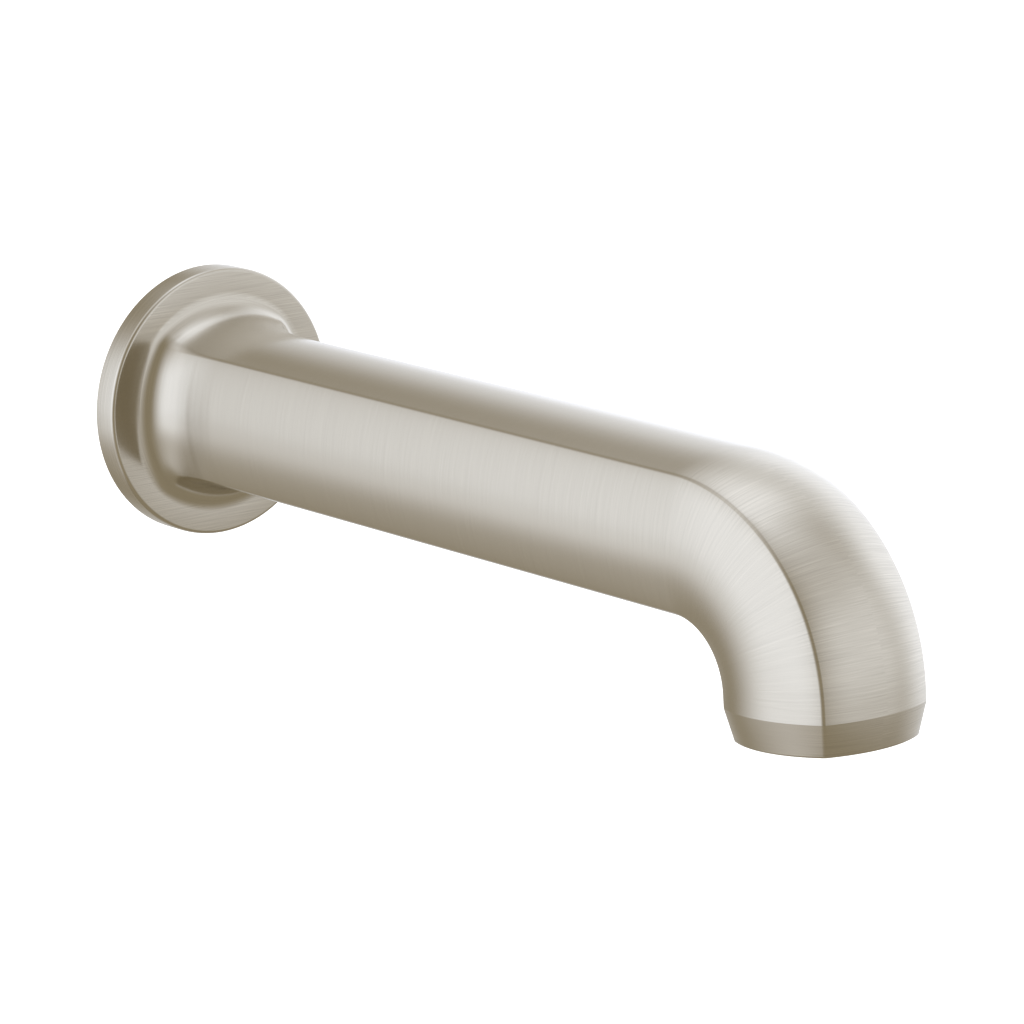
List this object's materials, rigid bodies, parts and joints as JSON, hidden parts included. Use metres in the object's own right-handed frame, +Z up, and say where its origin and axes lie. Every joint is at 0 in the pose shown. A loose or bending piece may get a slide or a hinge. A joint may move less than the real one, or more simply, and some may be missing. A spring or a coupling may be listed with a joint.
{
  "type": "bath spout",
  "caption": "Wall mounted bath spout: round flange, straight bulged-square tube, bend down to a tapered outlet band, with slip-on pipe adapter, set screw and flow straightener.",
  "frame": {"origin": "centre of the wall flange's back, on the wall plane and on the pipe's centre line", "axes": "+Z up, -Y straight out from the wall along the spout, +X to the right as seen from in front looking at the wall along +Y"},
  "size_m": [0.07, 0.2518, 0.0783],
  "materials": {
    "brushed_nickel": "brushed nickel plate over cast brass, fine grain running round the tube",
    "raw_brass": "machined brass",
    "plated_brass": "satin nickel plate over machined brass",
    "copper": "drawn copper tube",
    "black_rubber": "smooth moulded rubber",
    "gasket_foam": "closed cell foam rubber",
    "screw_steel": "stainless steel",
    "ring_plastic": "moulded acetal, satin",
    "grid_plastic": "moulded acetal, satin",
    "screen_steel": "woven stainless wire"
  },
  "bodies": {
    "adapter": {"pipe_adapter": "raw_brass", "pipe_washer": "black_rubber", "nose_ring_rear": "black_rubber", "nose_ring_front": "black_rubber"},
    "spout": {"spout_shell": "brushed_nickel", "wall_gasket": "gasket_foam", "inlet_socket": "raw_brass", "waterway_tube": "copper", "outlet_insert": "plated_brass"},
    "set_screw": {"set_screw": "screw_steel"},
    "straightener": {"inlet_washer": "black_rubber", "strainer_dome": "grid_plastic", "screen_upper": "screen_steel", "spacer_upper": "grid_plastic", "screen_middle": "screen_steel", "spacer_lower": "grid_plastic", "screen_lower": "screen_steel", "honeycomb_grid": "grid_plastic"},
    "straightener_ring": {"straightener_ring": "ring_plastic"}
  },
  "joints": [
    {"name": "spout_slide", "type": "slide", "parent": "adapter", "child": "spout", "axis": [0, -1, 0], "range_m": [0, 0.05]},
    {"name": "set_screw_back_off", "type": "slide", "parent": "spout", "child": "set_screw", "axis": [0, 0, -1], "range_m": [0, 0.002]},
    {"name": "straightener_drop", "type": "slide", "parent": "spout", "child": "straightener", "axis": [0, -0.0872, -0.9962], "range_m": [0, 0.0081]},
    {"name": "straightener_turn", "type": "hinge", "parent": "straightener", "child": "straightener_ring", "pos_m": [0, -0.23235, -0.04174], "axis": [0, -0.0872, -0.9962], "range_deg": [0, 2880]}
  ],
  "couplings": [
    {"joint": "straightener_drop", "follows": "straightener_turn", "m_per_rad": 0.00015915}
  ]
}
